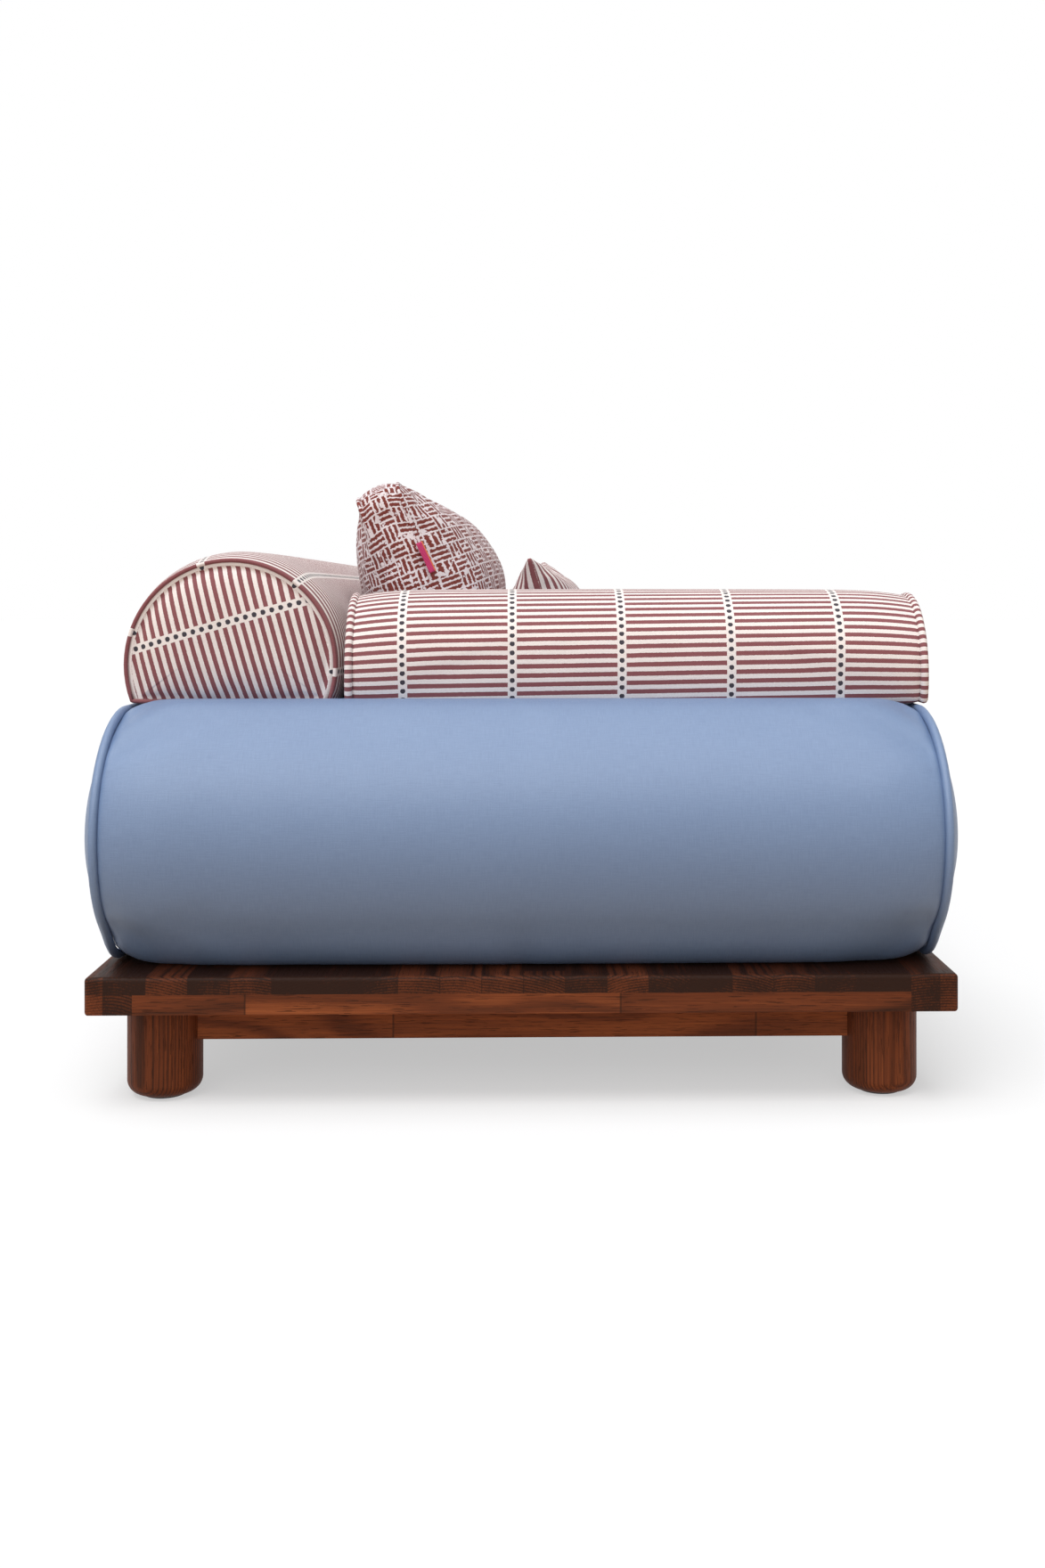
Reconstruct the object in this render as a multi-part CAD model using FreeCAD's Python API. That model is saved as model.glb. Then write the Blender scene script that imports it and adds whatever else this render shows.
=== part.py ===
import FreeCAD, Part
import math
import os

# Outdoor sofa: a hardwood platform on round legs, one thick round-ended seat cushion,
# flat-bottomed back and arm bolsters, and two pillows. Millimetres.
# +X runs along the sofa, -Y is the front, +Z is up, and the floor is Z = 0.

V = FreeCAD.Vector

# Platform
platform_length = 2100.0
platform_depth = 1004.0
platform_top = 154.0
deck_thickness = 20.0
cleat_thickness = 23.0
cleat_width = 150.0
rail_width = 55.0
arris_rounding = 5.0
plank_count = 6
bearer_count = 3
bearer_width = 70.0

# Legs and aprons
leg_diameter = 88.0
leg_inset = 76.0
leg_rounding = 16.0
glide_diameter = 50.0
glide_thickness = 3.0
glide_pin_diameter = 6.0
glide_pin_length = 14.0
apron_height = 44.0
apron_thickness = 32.0
bolt_diameter = 10.0
bolt_in_leg = 60.0
bolt_clearance = 0.2
cope_clearance = 0.2

# Soft goods in general
soft_clearance = 0.3
face_roundness = 0.88
piping_diameter = 11.0
piping_stand_out = 4.0

# Seat cushion
seat_overhang = 40.0
seat_side_overhang = 7.0
seat_depth = platform_depth + 2 * seat_side_overhang
seat_height = 312.0
seat_rim_inset = 15.0
seat_panel_bulge = 23.5

# Back bolster
back_radius = 140.0
back_axis_rise = 42.0
back_rim_inset = 8.0
back_panel_bulge = 20.0
back_set_in = 12.0
bolster_corner = 22.0

# Arm bolsters
arm_radius = 103.0
arm_axis_rise = 25.0
arm_rim_inset = 7.0
arm_panel_bulge = 12.0
arm_gap = 2.0

# Large pillow
large_width = 480.0
large_height = 274.0
large_gusset = 58.0
large_back_bulge = 50.0
large_front_bulge = 82.0
large_draw_in = 10.0
large_corner = 16.0
large_lean = 21.0
large_from_arm = 18.0
tab_length = 40.0
tab_width = 14.0
tab_thickness = 2.0
tab_drop = 60.0

# Small pillow
small_width = 320.0
small_height = 180.0
small_thickness = 105.0
small_draw_in = 12.0
small_corner = 12.0
small_lean = 13.0
small_turn = 4.0
small_from_arm = 60.0
small_gap = 4.0

# Places worked out from the sizes above
deck_underside = platform_top - deck_thickness
frame_underside = deck_underside - cleat_thickness
inner_depth = platform_depth - 2 * rail_width
bolt_hole = bolt_diameter + 2 * bolt_clearance
glide_pin_hole = glide_pin_diameter + 2 * bolt_clearance
leg_x = platform_length / 2 - leg_inset
leg_y = platform_depth / 2 - leg_inset
seat_bottom = platform_top + soft_clearance
seat_top = seat_bottom + seat_height
seat_half_length = platform_length / 2 + seat_overhang
seat_end_radius = seat_height / 2
piping_radius = piping_diameter / 2
bolster_bottom = seat_top + soft_clearance
flat_half_length = seat_half_length - seat_end_radius

os.makedirs("parts", exist_ok=True)


def save(node, shape):
    shape.exportStep("parts/" + node + ".step")


def box(x_low, y_low, z_low, x_high, y_high, z_high):
    return Part.makeBox(x_high - x_low, y_high - y_low, z_high - z_low, V(x_low, y_low, z_low))


def round_edges(shape, radius, wanted):
    edges = [edge for edge in shape.Edges if wanted(edge.CenterOfMass)]
    return shape.makeFillet(radius, edges)


def cylinder(diameter, height, foot):
    return Part.makeCylinder(diameter / 2, height, foot)


def arc(start, middle, end):
    return Part.Arc(start, middle, end).toShape()


def line(start, end):
    return Part.LineSegment(start, end).toShape()


def loft(wires):
    return Part.makeLoft(wires, True, False)


def tube(path, radius):
    first = path.OrderedEdges[0]
    start = first.valueAt(first.FirstParameter)
    direction = first.tangentAt(first.FirstParameter)
    ring = Part.Wire(Part.makeCircle(radius, start, direction))
    return path.makePipeShell([ring], True, True)


# Section of the seat across its end panels: flat top and bottom, two round ends.
def seat_section(y, inset, top_drop, bottom_rise):
    low = seat_bottom + bottom_rise
    high = seat_top - top_drop
    radius = (high - low) / 2
    middle = (high + low) / 2
    straight = seat_half_length - inset - radius
    bow = radius * math.sqrt(0.5)

    def at(x, z):
        return V(x, y, z)

    edges = [
        line(at(-straight, high), at(straight, high)),
        arc(at(straight, high), at(straight + bow, middle + bow), at(straight + radius, middle)),
        arc(at(straight + radius, middle), at(straight + bow, middle - bow), at(straight, low)),
        line(at(straight, low), at(-straight, low)),
        arc(at(-straight, low), at(-straight - bow, middle - bow), at(-straight - radius, middle)),
        arc(at(-straight - radius, middle), at(-straight - bow, middle + bow), at(-straight, high)),
    ]
    return Part.Wire(edges)


# Section of a bolster across its length: a circle cut flat below, with rounded lower corners.
# It shrinks about its axis by the given share, and its flat can be lifted.
def bolster_section(x, radius, axis_rise, share, base_lift=0.0):
    hub = axis_rise
    base = axis_rise * (1 - share) + base_lift
    outer = radius * share
    corner = bolster_corner * share
    rise = base + corner
    corner_y = math.sqrt((outer - corner) ** 2 - (hub - rise) ** 2)
    turn = math.atan2(rise - hub, corner_y)

    def on_outer(angle, side):
        return V(x, side * outer * math.cos(angle), hub + outer * math.sin(angle))

    def on_corner(angle, side):
        return V(x, side * (corner_y + corner * math.cos(angle)), rise + corner * math.sin(angle))

    floor_angle = -math.pi / 2
    half = math.pi / 2
    knee = (turn + half) / 2
    edges = [line(on_corner(floor_angle, -1), on_corner(floor_angle, 1))]
    edges.append(arc(on_corner(floor_angle, 1), on_corner((floor_angle + turn) / 2, 1), on_outer(turn, 1)))
    edges.append(arc(on_outer(turn, 1), on_outer((turn + knee) / 2, 1), on_outer(knee, 1)))
    edges.append(arc(on_outer(knee, 1), on_outer((knee + half) / 2, 1), on_outer(half, 1)))
    edges.append(arc(on_outer(half, 1), on_outer((knee + half) / 2, -1), on_outer(knee, -1)))
    edges.append(arc(on_outer(knee, -1), on_outer((turn + knee) / 2, -1), on_outer(turn, -1)))
    edges.append(arc(on_outer(turn, -1), on_corner((floor_angle + turn) / 2, -1), on_corner(floor_angle, -1)))
    return Part.Wire(edges)


# Outline of a pillow: four sides drawn in between small round corners, at a height in its thickness.
def pillow_section(width, height, draw_in, corner, share, level):
    half_w = width * share / 2
    half_h = height * share / 2
    small = corner * share
    pull = draw_in * share
    bend = small * (1 - math.sqrt(0.5))
    edges = []
    corners = [(1, -1), (1, 1), (-1, 1), (-1, -1)]
    for (sx, sy), (nx, ny) in zip(corners, corners[1:] + corners[:1]):
        along_x = (nx - sx) / 2
        along_y = (ny - sy) / 2
        start = V(sx * half_w + along_x * small, sy * half_h + along_y * small, level)
        end = V(nx * half_w - along_x * small, ny * half_h - along_y * small, level)
        middle_x = (sx + nx) / 2 * (half_w - pull)
        middle_y = (sy + ny) / 2 * (half_h - pull)
        edges.append(arc(start, V(middle_x, middle_y, level), end))
        tip = V(nx * (half_w - bend), ny * (half_h - bend), level)
        turn_x = nx * half_w - (0 if along_x else nx * small)
        turn_y = ny * half_h - (0 if along_y else ny * small)
        edges.append(arc(end, tip, V(turn_x, turn_y, level)))
    return Part.Wire(edges)


# Platform: the front rail is the full height of the edge, and the back rail carries the last plank.
# The planks are glued edge to edge and lie on the cleats, the bearers and the back rail.
def near(value, target):
    return abs(value - target) < 0.01


def at_end(centre):
    return near(abs(centre.x), platform_length / 2)


def make_front_rail():
    outer = -platform_depth / 2
    half = platform_length / 2
    rail = box(-half, outer, frame_underside, half, outer + rail_width, platform_top)

    def shows(centre):
        return near(centre.y, outer) or at_end(centre) and near(centre.z, platform_top)

    return round_edges(rail, arris_rounding, shows)


def make_back_rail():
    outer = platform_depth / 2
    half = platform_length / 2
    rail = box(-half, outer - rail_width, frame_underside, half, outer, deck_underside)

    def shows(centre):
        return near(centre.y, outer) and not near(centre.z, deck_underside)

    return round_edges(rail, arris_rounding, shows)


def make_plank(index):
    width = (platform_depth - rail_width) / plank_count
    low = -platform_depth / 2 + rail_width + index * width
    half = platform_length / 2
    plank = box(-half, low, deck_underside, half, low + width, platform_top)

    def shows(centre):
        on_back = near(centre.y, platform_depth / 2) and not near(centre.z, deck_underside)
        return on_back or at_end(centre) and near(centre.z, platform_top)

    return round_edges(plank, arris_rounding, shows)


def make_cleat(side):
    outer = side * platform_length / 2
    inner = outer - side * cleat_width
    half = inner_depth / 2
    cleat = box(min(inner, outer), -half, frame_underside, max(inner, outer), half, deck_underside)
    for y in (-leg_y, leg_y):
        cleat = cleat.cut(cylinder(bolt_hole, cleat_thickness, V(side * leg_x, y, frame_underside)))
    return cleat


def make_bearer(x):
    half_depth = inner_depth / 2
    half_width = bearer_width / 2
    return box(x - half_width, -half_depth, frame_underside, x + half_width, half_depth, deck_underside)


def make_leg(x, y):
    height = frame_underside - glide_thickness
    leg = cylinder(leg_diameter, height, V(x, y, glide_thickness))
    leg = round_edges(leg, leg_rounding, lambda centre: abs(centre.z - glide_thickness) < 0.01)
    bolt_bore = cylinder(bolt_hole, bolt_in_leg, V(x, y, frame_underside - bolt_in_leg))
    pin_bore = cylinder(glide_pin_hole, glide_pin_length, V(x, y, glide_thickness))
    return leg.cut(bolt_bore).cut(pin_bore)


def make_glide(x, y):
    disc = cylinder(glide_diameter, glide_thickness, V(x, y, 0))
    pin = cylinder(glide_pin_diameter, glide_thickness + glide_pin_length, V(x, y, 0))
    return disc.fuse(pin).removeSplitter()


def make_bolt(x, y):
    foot = V(x, y, frame_underside - bolt_in_leg)
    return cylinder(bolt_diameter, bolt_in_leg + cleat_thickness, foot)


def make_apron(x_low, y_low, x_high, y_high):
    low = frame_underside - apron_height
    apron = box(x_low, y_low, low, x_high, y_high, frame_underside)
    for x in (-leg_x, leg_x):
        for y in (-leg_y, leg_y):
            apron = apron.cut(cylinder(leg_diameter + 2 * cope_clearance, frame_underside, V(x, y, 0)))
    return apron


legs = {
    "leg_front_left": (-leg_x, -leg_y),
    "leg_front_right": (leg_x, -leg_y),
    "leg_back_left": (-leg_x, leg_y),
    "leg_back_right": (leg_x, leg_y),
}
for node, (x, y) in legs.items():
    save(node, make_leg(x, y))
save("foot_glides", Part.makeCompound([make_glide(x, y) for x, y in legs.values()]))
save("leg_bolts", Part.makeCompound([make_bolt(x, y) for x, y in legs.values()]))

save("front_rail", make_front_rail())
save("back_rail", make_back_rail())
save("end_cleat_left", make_cleat(-1))
save("end_cleat_right", make_cleat(1))
for index in range(plank_count):
    save("deck_plank_%d" % (index + 1), make_plank(index))
bearer_step = (platform_length - cleat_width) / (bearer_count + 1)
for index in range(bearer_count):
    x = (index - (bearer_count - 1) / 2) * bearer_step
    save("bearer_%d" % (index + 1), make_bearer(x))

half_apron = apron_thickness / 2
save("end_apron_left", make_apron(-leg_x - half_apron, -leg_y, -leg_x + half_apron, leg_y))
save("end_apron_right", make_apron(leg_x - half_apron, -leg_y, leg_x + half_apron, leg_y))
save("front_apron", make_apron(-leg_x, -leg_y - half_apron, leg_x, -leg_y + half_apron))
save("back_apron", make_apron(-leg_x, leg_y - half_apron, leg_x, leg_y + half_apron))


# Seat: the body swells between its two panels, which bulge a little past the piping.
seat_rim_y = seat_depth / 2 - seat_panel_bulge
# Each station is a distance in from the rim and the share of the rim's inset that is left there.
seat_swell = [(0.0, 1.0), (14.0, 0.4), (40.0, 0.1), (80.0, 0.0), (130.0, 0.0), (200.0, 0.0), (320.0, 0.0)]
# Each station is a share of the panel's bulge and of the way in to the panel's middle.
seat_panel = [(0.0, 0.0), (0.55, 0.07), (0.9, 0.3), (1.0, 0.6)]


def make_seat():
    stations = [(-seat_rim_y + back_off, share) for back_off, share in seat_swell]
    stations += [(seat_rim_y - back_off, share) for back_off, share in reversed(seat_swell)]
    wires = []
    for y, share in stations:
        inset = seat_rim_inset * share
        wires.append(seat_section(y, inset, inset, inset))
    seat = loft(wires)
    for side in (-1, 1):
        wires = []
        for reach, share in seat_panel:
            inset = seat_rim_inset + (seat_end_radius - seat_rim_inset) * share
            wires.append(seat_section(side * (seat_rim_y + seat_panel_bulge * reach), inset, inset, inset))
        seat = seat.fuse(loft(wires))
    return seat


def seat_ring(radius, side):
    inset = seat_rim_inset - piping_stand_out
    ring = tube(seat_section(seat_rim_y, inset, inset, inset), radius)
    return ring if side > 0 else ring.mirror(V(0, 0, 0), V(0, 1, 0))


seat = make_seat()
for node, side in (("seat_piping_front", -1), ("seat_piping_back", 1)):
    seat = seat.cut(seat_ring(piping_radius + soft_clearance, side))
    save(node, seat_ring(piping_radius, side))
save("seat_cushion", seat)


# Bolsters: made along X about their own middle, then turned and set on the seat.
bolster_swell = [(0.0, 1.0), (12.0, 0.4), (35.0, 0.08), (70.0, 0.0), (110.0, 0.0), (160.0, 0.0), (230.0, 0.0)]
bolster_panel = [(0.0, 0.0), (0.5, 0.1), (0.85, 0.32), (1.0, 0.62)]


def make_bolster(length, radius, axis_rise, rim_inset, panel_bulge):
    rim_x = length / 2 - panel_bulge
    stations = [(-rim_x + back_off, share) for back_off, share in bolster_swell]
    stations += [(rim_x - back_off, share) for back_off, share in reversed(bolster_swell)]
    rim_share = 1 - rim_inset / radius
    wires = []
    for x, share in stations:
        wires.append(bolster_section(x, radius, axis_rise, 1 - (1 - rim_share) * share))
    body = loft(wires)
    path_share = 1 - (rim_inset - piping_stand_out) / radius
    rings = []
    for side in (-1, 1):
        wires = []
        for reach, share in bolster_panel:
            x = side * (rim_x + panel_bulge * reach)
            wires.append(bolster_section(x, radius, axis_rise, rim_share * (1 - share)))
        body = body.fuse(loft(wires))
        path = bolster_section(side * rim_x, radius, axis_rise, path_share, piping_radius)
        rings.append(tube(path, piping_radius))
        body = body.cut(tube(path, piping_radius + soft_clearance))
    return body, Part.makeCompound(rings)


def settle(shape, place, turn):
    shape.rotate(V(0, 0, 0), V(0, 0, 1), turn)
    shape.translate(place)
    return shape


back_length = 2 * flat_half_length
back_y = seat_depth / 2 - back_set_in - back_radius
back, back_rings = make_bolster(back_length, back_radius, back_axis_rise, back_rim_inset, back_panel_bulge)
back_place = V(0, back_y, bolster_bottom)
back = settle(back, back_place, 0)
save("back_bolster", back)
save("back_bolster_piping", settle(back_rings, back_place, 0))

arm_front = -seat_depth / 2
arm_back = back_y - back_radius - arm_gap
arm_length = arm_back - arm_front
arm_x = flat_half_length - arm_radius
for node, side in (("arm_bolster_left", -1), ("arm_bolster_right", 1)):
    arm, arm_rings = make_bolster(arm_length, arm_radius, arm_axis_rise, arm_rim_inset, arm_panel_bulge)
    arm_place = V(side * arm_x, (arm_front + arm_back) / 2, bolster_bottom)
    save(node, settle(arm, arm_place, 90))
    save(node + "_piping", settle(arm_rings, arm_place, 90))


# Pillows: made lying flat with the front up, then stood on the seat and leaned back.
def swelling(reach):
    return math.sqrt(1 - face_roundness * reach * reach)


def make_large_pillow():
    half = large_gusset / 2
    stations = [(-half - large_back_bulge * reach, swelling(reach)) for reach in (1.0, 0.85, 0.5, 0.0)]
    stations += [(half + large_front_bulge * reach, swelling(reach)) for reach in (0.0, 0.5, 0.85, 1.0)]
    wires = []
    for level, share in stations:
        wires.append(pillow_section(large_width, large_height, large_draw_in, large_corner, share, level))
    return loft(wires)


def make_small_pillow():
    reaches = (0.0, 0.3, 0.6, 0.85, 0.97)
    faces = []
    for side in (-1, 1):
        wires = []
        for reach in reaches:
            level = side * reach * small_thickness / 2
            share = math.sqrt(1 - reach)
            wires.append(pillow_section(small_width, small_height, small_draw_in, small_corner, share, level))
        faces.append(loft(wires))
    return faces[0].fuse(faces[1])


def stand_up(shape, lean, turn):
    shape.rotate(V(0, 0, 0), V(1, 0, 0), 90 - lean)
    shape.rotate(V(0, 0, 0), V(0, 0, 1), turn)
    return shape


def lowest(shape):
    return shape.optimalBoundingBox(False, False).ZMin


# Moves a piece along a direction until it is the clearance away from its neighbour.
def push_to(shape, neighbour, direction, clearance, steps=8):
    moved = V(0, 0, 0)
    for _ in range(steps):
        step = direction * (shape.distToShape(neighbour)[0] - clearance)
        shape.translate(step)
        moved += step
    return moved


to_back = V(0, 1, 0)
to_right = V(1, 0, 0)
start_y = -seat_depth / 4
inner_arm_x = arm_radius - arm_x

large = stand_up(make_large_pillow(), large_lean, 0)
large_x = inner_arm_x + large_from_arm + large_width / 2
large.translate(V(large_x, start_y, bolster_bottom - lowest(large)))
tab_level = large_gusset / 2 - tab_thickness / 2
tab_low = large_height / 2 - tab_drop - tab_length
tab = box(-tab_width, tab_low, tab_level, 0, tab_low + tab_length, tab_level + tab_thickness)
tab = stand_up(tab, large_lean, 0)
tab.translate(V(inner_arm_x, start_y, large.CenterOfMass.z))
tab.translate(push_to(large, back, to_back, soft_clearance))
push_to(tab, large, to_right, soft_clearance)
save("large_pillow", large)
save("pillow_tab", tab)

small = stand_up(make_small_pillow(), small_lean, small_turn)
small_x = inner_arm_x + small_from_arm + small_width / 2
small.translate(V(small_x, 2 * start_y, bolster_bottom - lowest(small)))
push_to(small, large, to_back, small_gap)
save("small_pillow", small)
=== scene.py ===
import bpy
import bmesh
import math
from mathutils import Matrix, Vector, noise
from mathutils.bvhtree import BVHTree


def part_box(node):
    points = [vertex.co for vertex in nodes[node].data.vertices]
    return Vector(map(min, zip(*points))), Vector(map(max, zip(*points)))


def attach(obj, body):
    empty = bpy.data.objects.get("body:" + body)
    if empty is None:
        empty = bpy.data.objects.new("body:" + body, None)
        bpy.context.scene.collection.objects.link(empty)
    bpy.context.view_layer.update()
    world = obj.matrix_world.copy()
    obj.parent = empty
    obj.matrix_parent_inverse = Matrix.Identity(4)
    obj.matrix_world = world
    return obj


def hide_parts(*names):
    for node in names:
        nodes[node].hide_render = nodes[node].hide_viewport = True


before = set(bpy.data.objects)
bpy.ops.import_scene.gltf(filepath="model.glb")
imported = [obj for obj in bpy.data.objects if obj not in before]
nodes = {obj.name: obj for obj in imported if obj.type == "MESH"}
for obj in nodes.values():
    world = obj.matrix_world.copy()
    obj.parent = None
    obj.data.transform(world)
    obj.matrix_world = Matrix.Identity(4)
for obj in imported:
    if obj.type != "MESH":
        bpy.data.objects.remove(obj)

noise.seed_set(1)  # the same folds in every run
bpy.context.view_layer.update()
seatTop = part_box("back_bolster")[0].z  # the bolsters stand on the seat, the seat on the deck
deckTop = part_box("seat_cushion")[0].z
print("frame loaded, seat top at", round(seatTop, 4))


class Wire:  # one socket of a material, with arithmetic that adds Math nodes
    def __init__(self, tree, socket):
        self.tree, self.socket = tree, socket

    def math(self, operation, *values):
        step = self.tree.nodes.new("ShaderNodeMath")
        step.operation = operation
        for target, value in zip(step.inputs, values):
            plug(self.tree, target, value)
        return Wire(self.tree, step.outputs[0])

    def __add__(self, other):
        return self.math("ADD", self, other)

    def __sub__(self, other):
        return self.math("SUBTRACT", self, other)

    def __rsub__(self, other):
        return self.math("SUBTRACT", other, self)

    def __mul__(self, other):
        return self.math("MULTIPLY", self, other)

    def __truediv__(self, other):
        return self.math("DIVIDE", self, other)

    def __lt__(self, other):
        return self.math("LESS_THAN", self, other)

    def __gt__(self, other):
        return self.math("GREATER_THAN", self, other)

    def __abs__(self):
        return self.math("ABSOLUTE", self)

    __radd__, __rmul__ = __add__, __mul__

    def fract(self):
        return self.math("FRACT", self)

    def floor(self):
        return self.math("FLOOR", self)

    def sine(self):
        return self.math("SINE", self)

    def root(self):
        return self.math("SQRT", self)

    def limit(self):
        return self.math("MINIMUM", self.math("MAXIMUM", self, 0.0), 1.0)


def plug(tree, target, value):
    if isinstance(value, Wire):
        tree.links.new(value.socket, target)
    else:
        target.default_value = value


def linear(red, green, blue):  # a colour as it is picked in a picture, 0 to 255
    parts = [c / 255 for c in (red, green, blue)]
    return tuple(c / 12.92 if c <= 0.04045 else ((c + 0.055) / 1.055) ** 2.4 for c in parts) + (1.0,)


class Finish:  # a material under way
    def __init__(self, name, tree=None):
        if tree is None:
            self.material = bpy.data.materials.new(name)
            self.material.use_nodes = True
            tree = self.material.node_tree
        self.tree = tree
        self.shader = tree.nodes.get("Principled BSDF")

    def node(self, kind, settings=None, sockets=None, out=0):
        made = self.tree.nodes.new(kind)
        for key, value in (settings or {}).items():
            if key == "stops":
                ramp = made.color_ramp.elements
                while len(ramp) < len(value):
                    ramp.new(0.5)
                for stop, (place, colour) in zip(ramp, value):
                    stop.position, stop.color = place, colour
            else:
                setattr(made, key, value)
        for key, value in (sockets or {}).items():
            plug(self.tree, made.inputs[key], value)
        return Wire(self.tree, made.outputs[out])

    def feed(self, **sockets):
        for key, value in sockets.items():
            plug(self.tree, self.shader.inputs[key.replace("_", " ")], value)

    def mix(self, factor, first, second, way="MIX"):
        return self.node("ShaderNodeMix", {"data_type": "RGBA", "blend_type": way},
                         {0: factor, 6: first, 7: second}, 2)

    def split(self, vector):
        return [self.node("ShaderNodeSeparateXYZ", sockets={0: vector}, out=k) for k in range(3)]

    def join(self, x, y, z=0.0):
        return self.node("ShaderNodeCombineXYZ", sockets={0: x, 1: y, 2: z})

    def grainNoise(self, vector, scale, detail=2.0, roughness=0.5):
        return self.node("ShaderNodeTexNoise", sockets={"Vector": vector, "Scale": scale, "Detail": detail,
                                                        "Roughness": roughness})

    def bump(self, height, strength, distance):
        self.feed(Normal=self.node("ShaderNodeBump", sockets={"Height": height, "Strength": strength,
                                                              "Distance": distance}))


# finishes

blueWeave = {"colour": linear(117, 142, 179), "shade": linear(99, 123, 161), "thread": 0.0013,
             "strength": 0.35, "depth": 0.0005}


def makeBlueFabric(look):
    cloth = Finish("seatBlueWeave")
    place = cloth.node("ShaderNodeUVMap", {"uv_map": "cloth"})
    u, v = cloth.split(place)[:2]
    turn = 2 * math.pi / look["thread"]
    slub = cloth.grainNoise(cloth.join(u * 60, v * 900), 1.0, 3.0)  # thick and thin yarn, both ways
    slub = slub + cloth.grainNoise(cloth.join(u * 900, v * 60), 1.0, 3.0)
    weave = (u * turn).sine() * (v * turn).sine()
    cloud = cloth.grainNoise(place, 9.0, 4.0)
    tint = (0.5 + (slub - 1.0) * 0.9 + weave * 0.12 + (cloud - 0.5) * 0.35).limit()
    cloth.feed(Base_Color=cloth.mix(tint, look["shade"], look["colour"]),
               Roughness=0.42 - weave * 0.05, Specular_IOR_Level=0.75, Sheen_Weight=0.04, Sheen_Roughness=0.5)
    cloth.bump(weave * 0.6 + slub * 0.8, look["strength"], look["depth"])
    return cloth.material


stripes = {"white": linear(250, 243, 239), "whiteShade": linear(230, 220, 217), "red": linear(150, 94, 97),
           "redShade": linear(122, 68, 73), "dot": linear(66, 62, 70), "period": 0.0109, "redShare": 0.505,
           "bandPitch": 0.1343, "bandHalf": 0.0056, "dotRadius": 0.0031, "wobble": 0.0009,
           "strength": 0.55, "depth": 0.0008}


def makeStripedFabric(look):
    cloth = Finish("stripedWeave")
    place = cloth.node("ShaderNodeUVMap", {"uv_map": "cloth"})
    u, v = cloth.split(place)[:2]
    wobble = (cloth.grainNoise(place, 420.0, 2.0) - 0.5) * look["wobble"]
    share = ((v + wobble) / look["period"]).fract()
    red = share < look["redShare"]
    along = ((u + wobble) / look["bandPitch"] + 0.5).fract() * look["bandPitch"] - look["bandPitch"] / 2
    across = (share - (1 + look["redShare"]) / 2) * look["period"]
    band = abs(along) < look["bandHalf"]
    dot = along * along + across * across < look["dotRadius"] ** 2
    red = red * (1 - band)
    loops = cloth.grainNoise(cloth.join(u * 700, v * 900), 1.0, 2.0)  # nubby white yarn
    twill = ((u * 3300 + v * 2600).sine() + 1) / 2
    cloud = cloth.grainNoise(place, 14.0, 4.0)
    white = cloth.mix(((loops - 0.5) * 1.6 + 0.55 + (cloud - 0.5) * 0.5).limit(),
                      look["whiteShade"], look["white"])
    wine = cloth.mix((twill * 0.5 + (loops - 0.5) * 1.2 + (cloud - 0.5) * 0.6 + 0.3).limit(),
                     look["redShade"], look["red"])
    colour = cloth.mix(dot, cloth.mix(red, white, wine), look["dot"])
    cloth.feed(Base_Color=colour, Roughness=0.82 + (loops - 0.5) * 0.2, Specular_IOR_Level=0.25,
               Sheen_Weight=0.15, Sheen_Roughness=0.5)
    cloth.bump((1 - red) * (loops * 1.2 + 0.25) + red * (twill * 0.25 + loops * 0.3) + dot * 0.2,
               look["strength"], look["depth"])
    return cloth.material


basketPrint = {"ground": linear(246, 238, 240), "groundShade": linear(222, 210, 217),
               "mark": linear(114, 42, 35), "markShade": linear(146, 78, 70), "cell": 0.0215, "bars": 3,
               "barHalf": 0.31, "blockHalf": 0.46, "ragged": 0.005, "wornFrom": 0.4,
               "strength": 0.6, "depth": 0.0009}


def makePrintFabric(look):  # a rough basket weave: blocks of short bars, turned from block to block
    cloth = Finish("basketPrintWeave")
    place = cloth.node("ShaderNodeUVMap", {"uv_map": "cloth"})
    u, v = cloth.split(place)[:2]
    ragged = cloth.grainNoise(place, 300.0, 3.0) - 0.5
    a, b = ((part + ragged * look["ragged"]) / look["cell"] for part in (u, v))
    turned = ((a.floor() + b.floor()) / 2).fract() > 0.25
    lengthwise = abs((a * look["bars"]).fract() - 0.5) < look["barHalf"]
    crosswise = abs((b * look["bars"]).fract() - 0.5) < look["barHalf"]
    bar = turned * lengthwise + (1 - turned) * crosswise
    inside = (abs(a.fract() - 0.5) < look["blockHalf"]) * (abs(b.fract() - 0.5) < look["blockHalf"])
    worn = cloth.grainNoise(place, 95.0, 3.0) > look["wornFrom"]  # some bars fade out
    mark = bar * inside * worn
    loops = cloth.grainNoise(cloth.join(u * 800, v * 800), 1.0, 2.0)
    ground = cloth.mix(((loops - 0.5) * 1.4 + 0.35).limit(), look["ground"], look["groundShade"])
    ink = cloth.mix(((loops - 0.5) * 1.5 + 0.35).limit(), look["mark"], look["markShade"])
    cloth.feed(Base_Color=cloth.mix(mark, ground, ink), Roughness=0.85 - mark * 0.08, Specular_IOR_Level=0.25,
               Sheen_Weight=0.15, Sheen_Roughness=0.5)
    cloth.bump(loops - mark * 0.5, look["strength"], look["depth"])
    return cloth.material


ribbedTape = {"pink": linear(226, 52, 122), "pinkRibHollowShade": linear(178, 30, 92), "edge": linear(240, 128, 70),
              "edgeFrom": 0.84, "rib": 0.0016, "strength": 0.7, "depth": 0.0006}


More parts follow.
